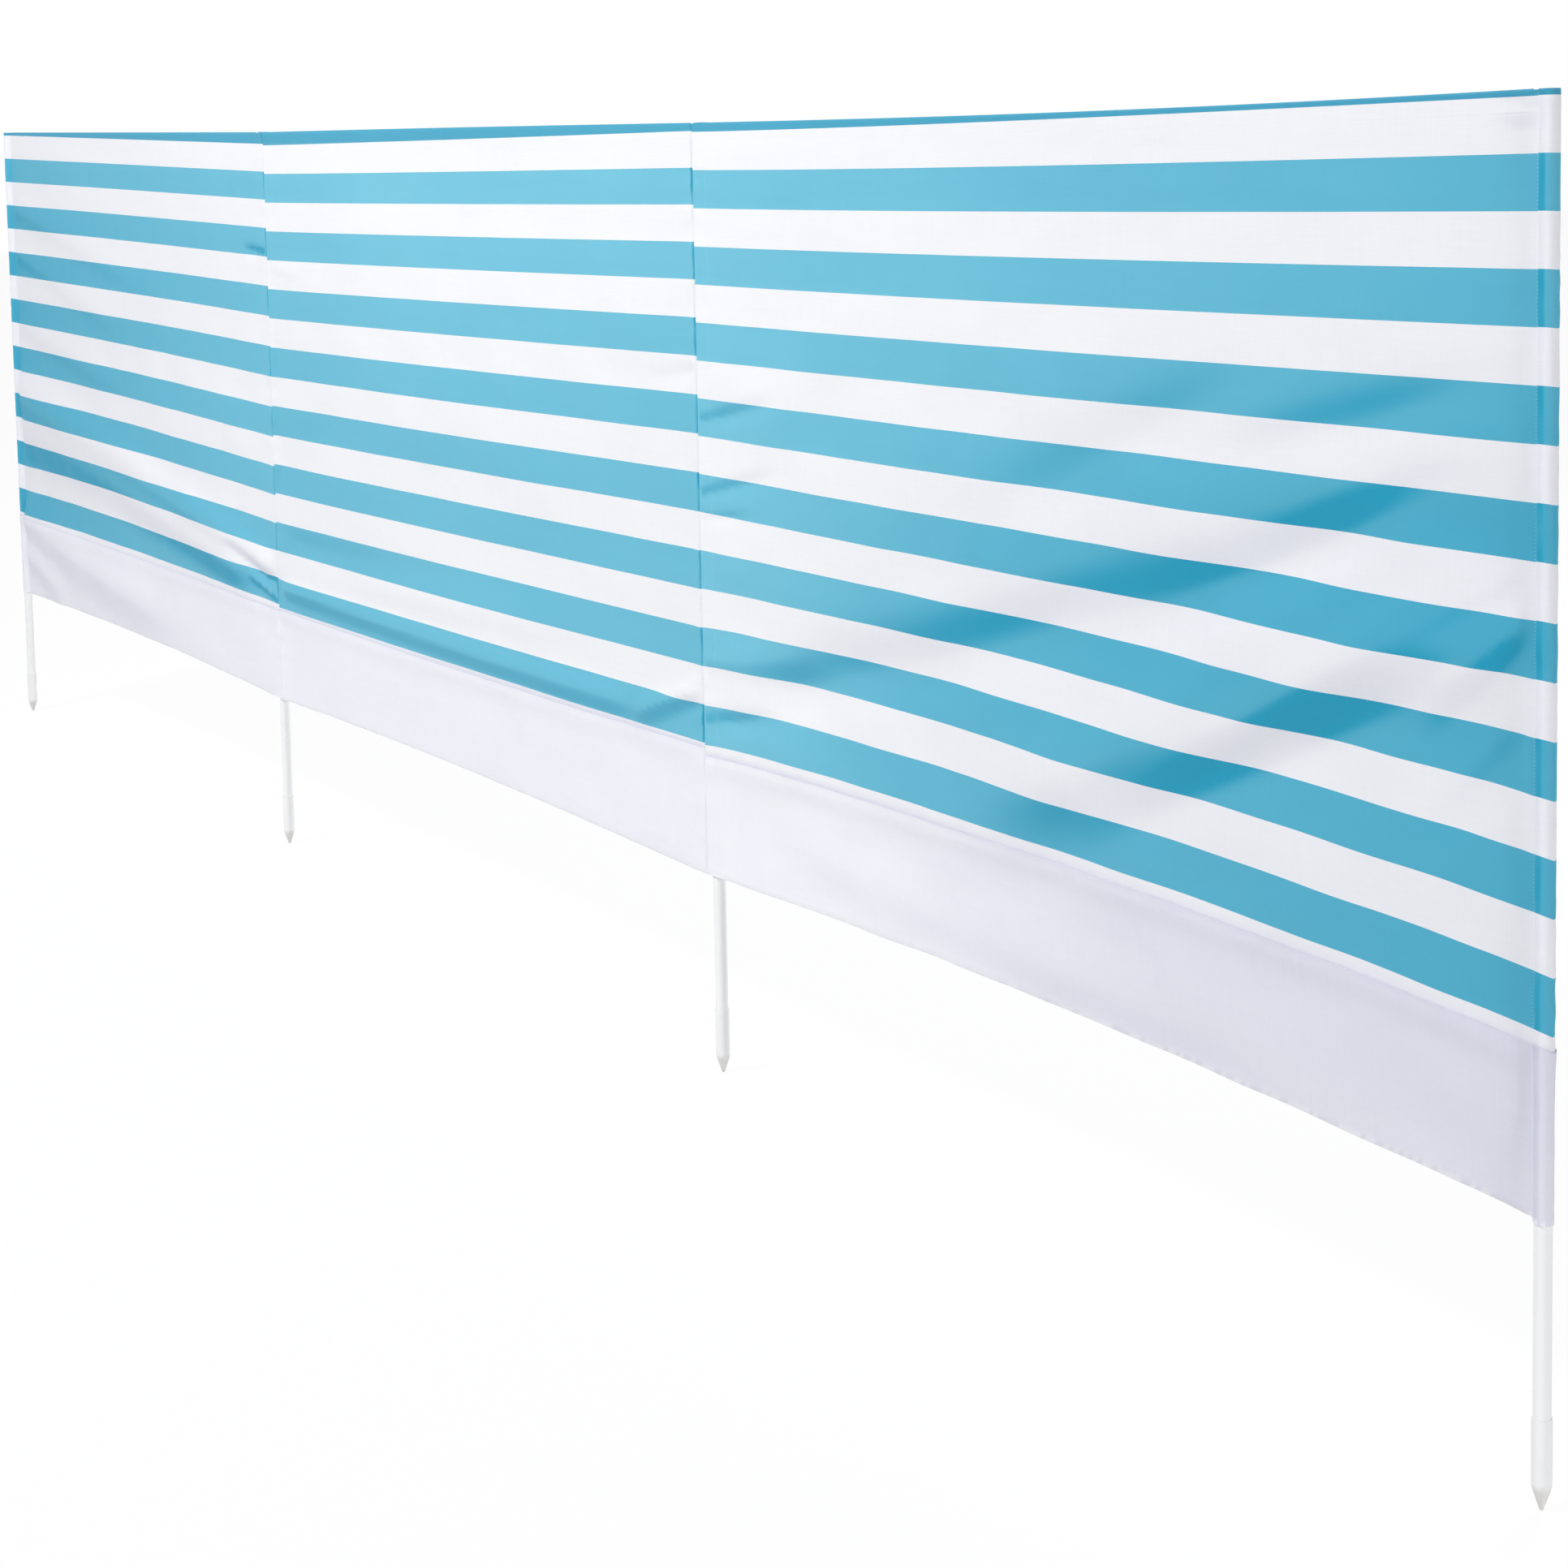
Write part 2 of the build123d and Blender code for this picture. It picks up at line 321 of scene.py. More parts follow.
def painted_shade_of(bay, plan, z):
    """How much shade is painted into the cloth's colour, 0 to 1: under folds, along and down each bay, and where the
    cloth is sewn double.
    """
    points, _, way, part = plan
    x = np.clip(points[:, 0][None, :] + 0.0 * z, *bays[bay]["ends"])
    # the way round from an end pocket's stitching, negative on the flat cloth
    pocket_way = {"left": -way, "middle": 0.0 * way - 1.0, "right": way - way[part == flat_part][-1]}[bay][None, :]
    small = 0.004
    # painted shade where a fold's slope faces down, away from the light
    tilt = (folded(bay, x, z + small) - folded(bay, x, z - small)) / (2.0 * small)
    tilted = smooth(0.0, 0.24, tilt)
    below = height_of(bay, "top", x) - z
    here = np.clip(along(bay, x), 0.0, 1.0)
    # painted shade for the light's falloff: towards the left bay's far end, the middle bay's left end, the right bay's
    # right end, and down each bay
    if bay == "left":
        deep = 0.78 * tilted + (0.72 - 0.48 * here) * (0.65 + 0.35 * smooth(0.0, 0.35, below))
    elif bay == "middle":
        deep = 0.42 * tilted + 0.20 * smooth(0.05, 0.60, below) + 0.10 * (1.0 - smooth(0.0, 0.45, here))
    else:
        deep = 0.54 * tilted + 0.43 * here + 0.20 * smooth(0.24, 0.60, below) * smooth(0.0, 0.54, here)
        # painted shade round the bay's main fold, from the end pole's shoulder down to the seam's foot
        deep = deep + 0.13 * np.exp(-(((z - 0.44 - 0.56 * here) / 0.19) ** 2)) * smooth(0.08, 0.35, here)
    # Painted shade in a strip round each end pocket, a painted shadow line over the skirt's lap, and painted shade on
    # the cloth under the next bay's edge, where it lies double
    if bay == "right":
        strip = smooth(0.0090, 0.0110, pocket_way) * (1.0 - smooth(0.0200, 0.0235, pocket_way))
    else:
        strip = 0.6 * smooth(-0.0012, 0.0008, pocket_way) * (1.0 - smooth(0.0052, 0.0074, pocket_way))
    deep = np.maximum(deep, (0.93 + 0.07 * waves(0.0 * x, z, 6, 0.05, 0.4, math.pi / 2, 71)) * strip)
    lap = z - skirt_top(bay, x)
    deep = np.maximum(deep, 0.8 * smooth(-0.0020, -0.0005, lap) * (1.0 - smooth(0.0022, 0.0040, lap)))
    before_seam = bays[bay]["ends"][1] - x
    wander = 0.75 + 0.25 * waves(0.0 * x, z, 8, 0.04, 0.3, math.pi / 2, 72)
    if bay == "left":
        deep = np.maximum(deep, 0.75 * wander * (1.0 - smooth(0.0022, 0.0042, before_seam)))
    elif bay == "middle":
        deep = np.maximum(deep, 0.90 * wander * (1.0 - smooth(0.0034, 0.0054, before_seam)))
    return np.clip(deep, 0.0, 1.0)


def pocket_relief(bay, q, z):
    """Small gathers of the cloth where it wraps an end pole; q is the way round it."""
    seed = 90 if bay == "left" else 95
    return 0.00035 * puckers(z + 0.2 * q, seed, 0.045)


# ---- the plan of each sheet: a line seen from above, with its outward side ----


def spread(length):
    """Places along a length, closer together at its ends."""
    fine = [0.0, 0.0012, 0.0026, 0.0042, 0.0062, 0.0088, 0.0122, 0.0166, 0.0220, 0.0285, 0.0360]
    steps = max(1, round((length - fine[-1] - fine[-1]) / column_step))
    middle = np.linspace(fine[-1], length - fine[-1], steps + 1)[1:-1]
    return np.array(fine + list(middle) + [length - place for place in reversed(fine)])


def between(start, end, parts, steps):
    """Points on a straight line, at these parts of so many steps."""
    start, end = np.array(start), np.array(end)
    return [tuple(start + (end - start) * part / steps) for part in parts]


def arc_points(angles):
    return [(math.cos(angle) * pocket_radius, math.sin(angle) * pocket_radius) for angle in angles]


def beside(pole, side, points):
    """Points about a pole's axis moved to their place in the part; side -1 mirrors them."""
    points = np.array(points)
    points[:, 0] = pole[0] + side * points[:, 0]
    points[:, 1] = pole[1] + points[:, 1]
    return points


def way_along(points):
    steps = np.linalg.norm(np.diff(points, axis=0), axis=1)
    return np.concatenate([[0.0], np.cumsum(steps)])


def unit(vectors):
    return vectors / np.linalg.norm(vectors, axis=1)[:, None]


def outward(points):
    """The normal of a line in plan, on the right of its direction."""
    way = unit(np.gradient(points, axis=0))
    return np.stack([way[:, 1], -way[:, 0]], axis=1)


def loop_round(pole, side):
    """From the front stitching round the outer side of an end pole and back, in plan."""
    lean = math.acos(pocket_radius / stitch_offset)
    first = math.pi + lean
    turn = 2.0 * (math.pi - lean)
    steps = 26
    ring = arc_points([first + turn * part / steps for part in range(steps + 1)])
    head = between((-stitch_offset, -0.0003), ring[0], range(1, 5), 5)
    back = between(ring[-1], (-stitch_offset, 0.0010), range(1, 6), 5)
    return beside(pole, side, head + ring + back)


flat_part, loop_part, tail_part = 0, 1, 2  # of a bay's columns


def flat_ends(bay):
    """Where a bay's flat cloth starts and ends: at a seam, or at the stitching of an end pocket."""
    start, end = bays[bay]["ends"]
    return stitching["left"] if bay == "left" else start, stitching["right"] if bay == "right" else end


def bay_plan(bay):
    """Columns of a bay's cloth: plan points, normals, way along, and which part each belongs to."""
    flat_start, flat_end = flat_ends(bay)
    x = flat_start + spread(flat_end - flat_start)
    flat = np.stack([x, np.zeros_like(x)], axis=1)
    flat_normals = np.tile([0.0, -1.0], (len(x), 1))
    if bay == "middle":
        return flat, flat_normals, x - flat_start, np.full(len(x), flat_part)
    side = 1 if bay == "right" else -1
    loop = loop_round(end_poles[bay], side)
    tail_x = loop[-1, 0] - side * np.array([0.002, 0.004, tail_reach])
    tail = np.stack([tail_x, np.full(3, loop[-1, 1])], axis=1)
    loop_normals = side * outward(loop)
    loop_normals[-1] = (0.0, 1.0)
    tail_normals = np.tile([0.0, 1.0], (3, 1))
    points = np.concatenate([flat[::side], loop, tail])[::side]
    normals = np.concatenate([flat_normals, loop_normals, tail_normals])[::side]
    part = np.repeat([flat_part, loop_part, tail_part], [len(flat), len(loop), len(tail)])[::side]
    way = way_along(points)
    return points, normals, way - way[part == flat_part][0], part


# ---- meshes ----

weld_distance = 0.00002


def new_piece(name, data):
    piece = bpy.data.objects.new(name, data)
    bpy.context.scene.collection.objects.link(piece)
    return piece


class Patches:
    """Grids of points that are welded into one sheet."""

    def __init__(self, rising=False):
        self.points, self.maps, self.deeps, self.faces, self.kinds = [], [], [], [], []
        self.count = 0
        self.rising = rising  # which diagonal a four-sided face is split on

    def add(self, points, uv, kinds, keep=True, deep=0.0):
        rows, columns = points.shape[:2]
        first = self.count + np.arange(rows * columns).reshape(rows, columns)
        quads = np.stack([first[:-1, :-1], first[1:, :-1], first[1:, 1:], first[:-1, 1:]], axis=-1)
        if self.rising:
            quads = np.roll(quads, -1, axis=-1)
        kind = np.repeat(np.asarray(kinds)[:, None], columns - 1, axis=1)
        chosen = np.broadcast_to(keep, quads.shape[:2])
        self.points.append(points.reshape(-1, 3))
        self.maps.append(uv.reshape(-1, 2))
        self.deeps.append(np.broadcast_to(deep, (rows, columns)).reshape(-1))
        self.faces.append(quads[chosen])
        self.kinds.append(kind[chosen])
        self.count += rows * columns

    def build(self, name, materials):
        """The welded sheet as an object, given its thickness."""
        maps = np.concatenate(self.maps)
        faces = np.concatenate(self.faces)
        mesh = bpy.data.meshes.new(name)
        mesh.from_pydata(np.concatenate(self.points).tolist(), [], faces.tolist())
        mesh.polygons.foreach_set("material_index", np.concatenate(self.kinds).astype(np.int32))
        mesh.polygons.foreach_set("use_smooth", np.ones(len(faces), bool))
        # painted shade, 0 to 1, per point, which the cloth's material turns into a darker colour
        deep = mesh.attributes.new("deep", "FLOAT", "POINT")
        deep.data.foreach_set("value", np.concatenate(self.deeps).astype(np.float32))
        layer = mesh.uv_layers.new(name="cloth")
        layer.data.foreach_set("uv", maps[faces.reshape(-1)].reshape(-1))
        for material in materials:
            mesh.materials.append(material)
        welded = bmesh.new()
        welded.from_mesh(mesh)
        bmesh.ops.remove_doubles(welded, verts=welded.verts, dist=weld_distance)
        loose = [vertex for vertex in welded.verts if not vertex.link_faces]
        bmesh.ops.delete(welded, geom=loose, context="VERTS")
        welded.to_mesh(mesh)
        welded.free()
        piece = new_piece(name, mesh)
        shell = piece.modifiers.new("thickness", "SOLIDIFY")
        shell.thickness = cloth_thickness
        shell.offset = 0.0
        shell.use_even_offset = False
        thick = bpy.data.meshes.new_from_object(piece.evaluated_get(bpy.context.evaluated_depsgraph_get()))
        piece.modifiers.clear()
        piece.data = thick
        thick.name = name
        thick.set_sharp_from_angle(angle=math.radians(50.0))
        return piece


def ramp_at(bay, x):
    """The folds die out at the stitching of an end pocket."""
    if bay == "middle":
        return np.ones_like(x)
    return smooth(0.0, 0.022, np.abs(x - stitching[bay]))


def pushed(points, normals, out, heights):
    """Points of a sheet at the given heights (rows by columns), this far out from its plan."""
    place = np.empty(heights.shape + (3,))
    place[..., 0] = points[:, 0] + normals[:, 0] * out
    place[..., 1] = points[:, 1] + normals[:, 1] * out
    place[..., 2] = heights
    return place


def grid(bay, plan, heights, step=0.0):
    """Points of a bay's cloth at the given heights (rows by columns), each row step outwards."""
    points, normals, way, part = plan
    x = points[:, 0][None, :]
    flat_x = np.clip(x, *bays[bay]["ends"])
    out = relief(bay, flat_x, heights) * np.where(part == flat_part, ramp_at(bay, x), 0.0)
    if bay != "middle":
        out = out + np.where(part[None, :] == loop_part, pocket_relief(bay, way[None, :], heights), 0.0)
    # Round the front of an end pole the cloth is drawn up a little
    bulge = np.where(part == loop_part, np.clip(-points[:, 1] / pocket_radius, 0.0, 1.0), 0.0)[None, :]
    drawn = heights + 0.0052 * (1.45 - heights) * bulge * smooth(0.26, 0.36, heights)
    return pushed(points, normals, out + step, drawn)


def lap_share(bay, x, part=flat_part):
    """How much the skirt's lap stands out: less where it wraps an end pole."""
    whole, least = bays[bay]["lap"], 0.10
    if bay == "middle":
        return whole + 0.0 * x
    return np.where(part == flat_part, least + (whole - least) * smooth(0.0, 0.020, np.abs(x - stitching[bay])), least)


def lap_front(share, step=lap_step):
    return lap_base + (step - lap_base) * share


def seam_share(bay, x):
    """The skirt's lap flattens into a seam, so that two bays can fold together there."""
    share = np.ones_like(x)
    for seam in bays[bay]["seams"]:
        share = share * np.clip((np.abs(x - seam) - 0.002) / 0.012, 0.0, 1.0)
    return share


def map_of(way, heights):
    return np.stack(np.broadcast_arrays(way[None, :], heights), axis=-1)


# doubled_kind gives the darker blue that paints shade where the cloth is turned double
blue_kind, white_kind, doubled_kind = 0, 1, 2  # a striped sheet's materials
rows_per_stripe = 8


def stripe_rows(bay, x):
    """Heights of the rows of striped cloth from the top edge down, and the kind of cloth between them."""
    rows, kinds = [], []
    top = height_of(bay, "top", x)
    band = height_of(bay, "band", x)
    for part in np.linspace(0.0, 1.0, 4)[:-1]:
        rows.append(top + (band - top) * part)
        kinds.append(doubled_kind)
    for step in range(stripe_count * rows_per_stripe):
        rows.append(stripe_height(bay, step / (stripe_count * rows_per_stripe), x))
        kinds.append(white_kind if (step // rows_per_stripe) % 2 == 0 else blue_kind)
    low = stripe_height(bay, 1.0, x)
    foot = skirt_top(bay, x) - lap_height - 0.003
    for part in np.linspace(0.0, 1.0, 5):
        rows.append(low + (foot - low) * part)
        kinds.append(white_kind)
    return np.array(rows), kinds[:-1]


def add_hem(sheet, bay, plan, edge, drops, up, kind):
    """An edge turned over to the back, clear of the pockets; up is 1 for an upper edge and -1 for a lower one."""
    rows = [edge - up * drop for drop in drops]
    steps = [-2.0 * fold_radius] * len(drops)
    for angle in (50.0, 90.0, 130.0):
        rows.append(edge + up * fold_radius * 0.8 * math.sin(math.radians(angle)))
        steps.append(-fold_radius * (1.0 + math.cos(math.radians(angle))))
    rows.append(edge)
    steps.append(0.0)
    heights = np.array(rows)[::up]
    points, _, way, part = plan
    low, high = {
        "left": (stitching["left"] + tail_reach + hem_gap, poles[1][0] - strap_reach - hem_gap),
        "middle": (left_seam + 2.0 * hem_gap, right_seam - 2.0 * hem_gap),
        "right": (poles[2][0] + strap_reach + hem_gap, stitching["right"] - tail_reach - hem_gap),
    }[bay]
    kept = (part == flat_part) & (points[:, 0] > low) & (points[:, 0] < high)
    hem = grid(bay, plan, heights, np.array(steps)[::up, None])
    hem_map = map_of(way, 2.0 * edge[None, :] - heights)
    sheet.add(hem, hem_map, [kind] * (len(rows) - 1), (kept[:-1] & kept[1:])[None, :])


def cap_over(rim, centre, shares, domes, ripple=0.0):
    """Rings of points from a rim in to a pole's axis."""
    cap = np.empty((len(shares), len(rim), 3))
    for row, (share, dome) in enumerate(zip(shares, domes)):
        cap[row, :, 0] = centre[0] + (rim[:, 0] - centre[0]) * share
        cap[row, :, 1] = centre[1] + (rim[:, 1] - centre[1]) * share
        cap[row, :, 2] = rim[:, 2] + dome + 0.0004 * share * (1.0 - share) * 4.0 * ripple
    return cap


def striped_cloth(bay, materials):
    sheet = Patches(rising=bay == "right")
    plan = bay_plan(bay)
    points, _, way, part = plan
    x = points[:, 0]
    heights, kinds = stripe_rows(bay, x)
    # the rows carry their painted shade
    sheet.add(grid(bay, plan, heights), map_of(way, heights), kinds, deep=painted_shade_of(bay, plan, heights))
    add_hem(sheet, bay, plan, height_of(bay, "top", x), [top_hem, 0.018, 0.010, 0.004, 0.0012], 1, doubled_kind)
    # An end pocket is gathered shut over its pole
    if bay != "middle":
        rim = grid(bay, plan, heights[:1])[0]
        shares = [0.04, 0.25, 0.5, 0.75, 0.92, 1.0]
        domes = [-0.0030, -0.0023, -0.0014, -0.0008, -0.0003, 0.0]
        cap = cap_over(rim, end_poles[bay], shares, domes, np.sin(way * 700.0))
        on_loop = part == loop_part
        edge = (on_loop | np.roll(on_loop, 1) | np.roll(on_loop, -1)) & (part != tail_part)
        cap_map = map_of(way, np.array(shares)[:, None] * -pocket_radius + rim[None, :, 2] + pocket_radius)
        sheet.add(cap, cap_map, [doubled_kind] * (len(shares) - 1), (edge[:-1] & edge[1:])[None, :])
    return sheet.build(f"{bay}_striped_cloth", materials)


def skirt_cloth(bay, materials):
    sheet = Patches(rising=bay == "right")
    plan = bay_plan(bay)
    points, _, way, part = plan
    x = points[:, 0]
    top = skirt_top(bay, x)
    bottom = height_of(bay, "bottom", x)
    rows, steps = [], []
    # The upper edge: its turned-in part going up, the fold, and the front with two sewn grooves going down
    for drop in (lap_height - 0.001, 0.006, 0.003, 0.0012):
        rows.append(top - drop)
        steps.append(lap_base + 0.0 * x)
    share = lap_share(bay, x, part)
    front = lap_front(share)
    for angle in (-60.0, 0.0, 60.0):
        rows.append(top - 0.0004 + 0.0007 * math.cos(math.radians(angle)))
        steps.append(lap_base + (front - lap_base) * (0.5 + 0.5 * math.sin(math.radians(angle))))
    drops = [0.0012, 0.003, 0.005, 0.0075, 0.010, 0.0125, 0.0155, 0.019, 0.024, 0.030]
    for drop in drops:
        rows.append(top - drop)
        groove = 0.00025 * sum(math.exp(-(((drop - line) / 0.0016) ** 2)) for line in lap_lines)
        steps.append(front * (1.0 - smooth(lap_height, lap_fall, drop)) - groove * share)
    body_rows = 20
    for part_down in np.linspace(0.0, 1.0, body_rows + 1)[1:]:
        row = (top - drops[-1]) + (bottom - top + drops[-1]) * part_down
        rows.append(row)
        steps.append(front * (1.0 - smooth(lap_height, lap_fall, top - row)))
    heights = np.array(rows)
    # Painted shade on its white: less than on the striped cloth's colours, and most towards the right end
    under = np.clip((top[None, :] - heights) / 0.2, 0.0, 1.0)
    near_end = (0.84 - 0.22 * under) * smooth(0.10, 0.65, along("right", x))[None, :]
    deep = {"left": 0.28, "middle": 0.20, "right": near_end}[bay] * painted_shade_of(bay, plan, heights)
    # a thin painted shadow along its top edge, under the turned fold
    deep = np.maximum(deep, 0.62 * smooth(-0.0018, -0.0006, heights - top[None, :]))
    steps = np.array(steps) * seam_share(bay, x)
    sheet.add(grid(bay, plan, heights, steps), map_of(way, heights), [0] * (len(rows) - 1), deep=deep)
    add_hem(sheet, bay, plan, bottom, [bottom_hem, 0.010, 0.004, 0.0012], -1, 0)
    return sheet.build(f"{bay}_skirt_cloth", materials)


def strap_plan(pole, side):
    """A strap over the back of an inner pole in plan, from the seam's side to its far edge."""
    foot = strap_back - pole[1]

    def tangent(reach):
        distance = math.hypot(reach, foot)
        return math.atan2(foot, reach) + math.acos(pocket_radius / distance)

    ring = arc_points(np.linspace(tangent(strap_near), math.pi - tangent(strap_stitch), 24))
    head = between((strap_near, foot), ring[0], (0, 1, 2), 3)
    back = between(ring[-1], (-strap_stitch, foot), (1, 2, 3, 4), 4)
    tail = [(-strap_stitch - 0.003, foot), (-strap_reach, foot)]
    points = beside(pole, side, head + ring + back + tail)
    return points, side * outward(points)


strap_map_start, tape_map_start = 0.5, 2.5  # so that each piece shows another stretch of the weave


def strap(bay, striped, materials):
    """The strap behind an inner pole: striped above, plain along the skirt."""
    pole = inner_poles[bay]
    points, normals = strap_plan(pole, 1 if bay == "left" else -1)
    x = points[:, 0]
    way = way_along(points)
    if striped:
        heights, kinds = stripe_rows(bay, x)
        heights = heights[::2]  # every other row is enough here
        kinds = [kinds[min(2 * row, len(kinds) - 1)] for row in range(len(heights) - 1)]
    else:
        top, bottom = skirt_top(bay, x), height_of(bay, "bottom", x)
        rows = 22
        heights = np.array([top + (bottom - top) * part for part in np.linspace(0.0, 1.0, rows)])
        kinds = [0] * (rows - 1)
    seed = 120 if bay == "left" else 130
    out = 0.0003 * puckers(heights + 0.3 * way[None, :], seed, 0.05)
    free = smooth(0.0, 0.012, way) * smooth(0.0, 0.008, way[-1] - way)
    place = pushed(points, normals, out * free[None, :], heights)
    sheet = Patches()
    sheet.add(place, map_of(way + strap_map_start, heights), kinds)
    if striped:
        # Its upper end is drawn shut over the pole, along the back of the flat cloth
        ring = place[0, :-2]
        front_x = np.linspace(ring[-1, 0], ring[0, 0], 8)[1:]
        front = np.stack([front_x, np.full(7, 0.0004), np.full(7, ring[0, 2])], axis=1)
        rim = np.concatenate([ring, front])
        shares = [0.04, 0.3, 0.6, 0.85, 1.0]
        cap = cap_over(rim, pole, shares, [0.0004, 0.0010, 0.0012, 0.0008, 0.0])
        cap_way = np.linspace(0.0, 0.06, len(rim))
        cap_map = map_of(cap_way + strap_map_start, np.array(shares)[:, None] * -0.01 + rim[None, :, 2] + 0.01)
        sheet.add(cap, cap_map, [doubled_kind] * (len(shares) - 1))
    name = f"{bay}_pole_strap" if striped else f"{bay}_skirt_strap"
    return sheet.build(name, materials)


def seam_tape(name, seam, low, high, side, materials):
    """The middle cloth's edge turned back beside a seam."""
    place = np.array([0.0022, 0.0034, 0.0060, 0.0090, 0.0104])
    back = np.array([0.0010, 0.0013, 0.0014, 0.0014, 0.0010])
    plan = np.stack([seam + side * place, back], axis=1)
    backwards = np.tile([0.0, 1.0], (len(place), 1))
    rows = 90
    heights = np.linspace(high, low, rows)[:, None] + 0.0 * place[None, :]
    points = pushed(plan, backwards, 0.0002 * puckers(heights, 150, 0.03), heights)
    sheet = Patches()
    sheet.add(points, map_of(place + tape_map_start, heights), [0] * (rows - 1))
    return sheet.build(name, materials)


# ---- stitches ----


def stitches(name, lines, material):
    """Rows of thread, each stitch with eight faces: a line is (centres, directions, normals)."""
    centres, ways, normals = (np.concatenate([line[item] for line in lines]) for item in range(3))
    across = np.cross(ways, normals)
    half, wide, tall = 0.00155, 0.00026, 0.00030
    sunk = 0.00025  # of its two ends
    corners = np.stack([
        centres - ways * half - normals * sunk,
        centres + ways * half - normals * sunk,
        centres + across * wide,
        centres - across * wide,
        centres + normals * tall,
        centres - normals * tall,
    ], axis=1)
    pattern = np.array([(0, 2, 4), (2, 1, 4), (1, 3, 4), (3, 0, 4), (2, 0, 5), (1, 2, 5), (3, 1, 5), (0, 3, 5)])
    faces = (np.arange(len(centres))[:, None, None] * 6 + pattern[None]).reshape(-1, 3)
    mesh = bpy.data.meshes.new(name)
    mesh.from_pydata(corners.reshape(-1, 3).tolist(), [], faces.tolist())
    mesh.polygons.foreach_set("use_smooth", np.ones(len(faces), bool))
    mesh.materials.append(material)
    return new_piece(name, mesh)


def surface_frame(bay, x, z, step):
    """Points, level directions, upright directions and normals of a bay's front."""
    small = 0.0005

    def at(x_here, z_here):
        out = relief(bay, x_here, z_here) * ramp_at(bay, x_here) + step
        return np.stack([x_here, -out, z_here], axis=-1)

    level = unit(at(x + small, z) - at(x - small, z))
    upright = unit(at(x, z + small) - at(x, z - small))
    return at(x, z), level, upright, unit(np.cross(level, upright))


def bay_stitches(bay, material):
    """Level rows at the hems and the lap, and upright ones beside the pockets."""
    start, end = flat_ends(bay)
    from_pocket, from_seam = 0.001, 0.0065
    first = start + (from_pocket if bay == "left" else from_seam)
    last = end - (from_pocket if bay == "right" else from_seam)
    x = np.arange(first, last, stitch_pitch)
    lap = lap_front(lap_share(bay, x), lap_step - 0.0004) * seam_share(bay, x)
    rows = [(height_of(bay, "top", x) - top_line, 0.0)]
    rows += [(skirt_top(bay, x) - line, lap) for line in lap_lines]
    rows += [(height_of(bay, "bottom", x) + bottom_line, 0.0)]
    lines = []
    for z, step in rows:
        here, level, _, normal = surface_frame(bay, x, z, step)
        lines.append((here + normal * (cloth_thickness / 2), level, normal))
    places = {
        "left": [stitching["left"] + 0.0015, poles[1][0] - strap_stitch - 0.003],
        "middle": [],
        "right": [stitching["right"] - 0.0015, poles[2][0] + strap_stitch + 0.003],
    }[bay]
    for place in places:
        low = float(height_of(bay, "bottom", np.array(place))) + stitch_end
        high = float(height_of(bay, "top", np.array(place))) - stitch_end
        z = np.arange(low, high, stitch_pitch)
        x = np.full(len(z), place)
        drop = skirt_top(bay, x) - z
        front = lap_front(lap_share(bay, x))
        step = np.where(drop > 0.0, front * (1.0 - smooth(lap_height, lap_fall, drop)), 0.0)
        here, _, upright, normal = surface_frame(bay, x, z, step)
        lines.append((here + normal * (cloth_thickness / 2), upright, normal))
    return stitches(f"{bay}_stitches", lines, material)


# ---- materials ----


def srgb(red, green, blue):
    """A colour written as it looks on a screen, for a shader's socket."""
    def one(value):
        value = value / 255.0
        return value / 12.92 if value <= 0.04045 else ((value + 0.055) / 1.055) ** 2.4
    return one(red), one(green), one(blue), 1.0


pure_white = (1.0, 1.0, 1.0, 1.0)


class Nodes:
    """Short ways to add nodes to a material or a world."""

    def __init__(self, owner, output, shader):
        self.owner = owner
        owner.use_nodes = True
        self.tree = owner.node_tree
        self.tree.nodes.clear()
        self.output = self.add(output)
        self.shader = self.add(shader)
        self.link(self.shader.outputs[0], self.output.inputs["Surface"])

    def add(self, kind, **settings):
        node = self.tree.nodes.new(kind)
        for name, value in settings.items():
            setattr(node, name, value)
        return node

    def link(self, source, target):
        self.tree.links.new(source, target)

    def fill(self, socket, value):
        if isinstance(value, (int, float, tuple)):
            socket.default_value = value
        else:
            self.link(value, socket)

    def put(self, kind, out=0, **values):
        """The output of a node whose sockets, named with underscores, get these values."""
        node = self.add(kind)
        for name, value in values.items():
            self.fill(node.inputs[name.replace("_", " ")], value)
        return node.outputs[out]

    def math(self, operation, *values, clamp=False):
        node = self.add("ShaderNodeMath", operation=operation, use_clamp=clamp)
        for socket, value in zip(node.inputs, values):
            self.fill(socket, value)
        return node.outputs[0]

    def noise(self, vector, scale, detail, roughness, distortion=0.0):
        values = {"Scale": scale, "Detail": detail, "Roughness": roughness, "Distortion": distortion}
        return self.put("ShaderNodeTexNoise", Vector=vector, **values)

    def stretched(self, vector, scale):
        return self.put("ShaderNodeMapping", Vector=vector, Scale=scale)

    def ramp(self, value, stops):
        node = self.add("ShaderNodeValToRGB")
        while len(node.color_ramp.elements) < len(stops):
            node.color_ramp.elements.new(0.5)
        for element, (place, colour) in zip(node.color_ramp.elements, stops):
            element.position = place
            element.color = colour
        self.link(value, node.inputs["Fac"])
        return node.outputs["Color"]

    def mix(self, share, first, second, blend="MIX"):
        node = self.add("ShaderNodeMix", data_type="RGBA", blend_type=blend)
        for socket, value in ((node.inputs[0], share), (node.inputs[6], first), (node.inputs[7], second)):
            self.fill(socket, value)
        return node.outputs[2]

    def bump(self, height, strength, distance, **below):
        return self.put("ShaderNodeBump", Strength=strength, Distance=distance, Height=height, **below)

    def surface(self, **values):
        """Values of the shader's own sockets, such as Base_Color."""
        for name, value in values.items():
            self.fill(self.shader.inputs[name.replace("_", " ")], value)
        return self.owner


def surface_nodes(name):
    return Nodes(bpy.data.materials.new(name), "ShaderNodeOutputMaterial", "ShaderNodeBsdfPrincipled")


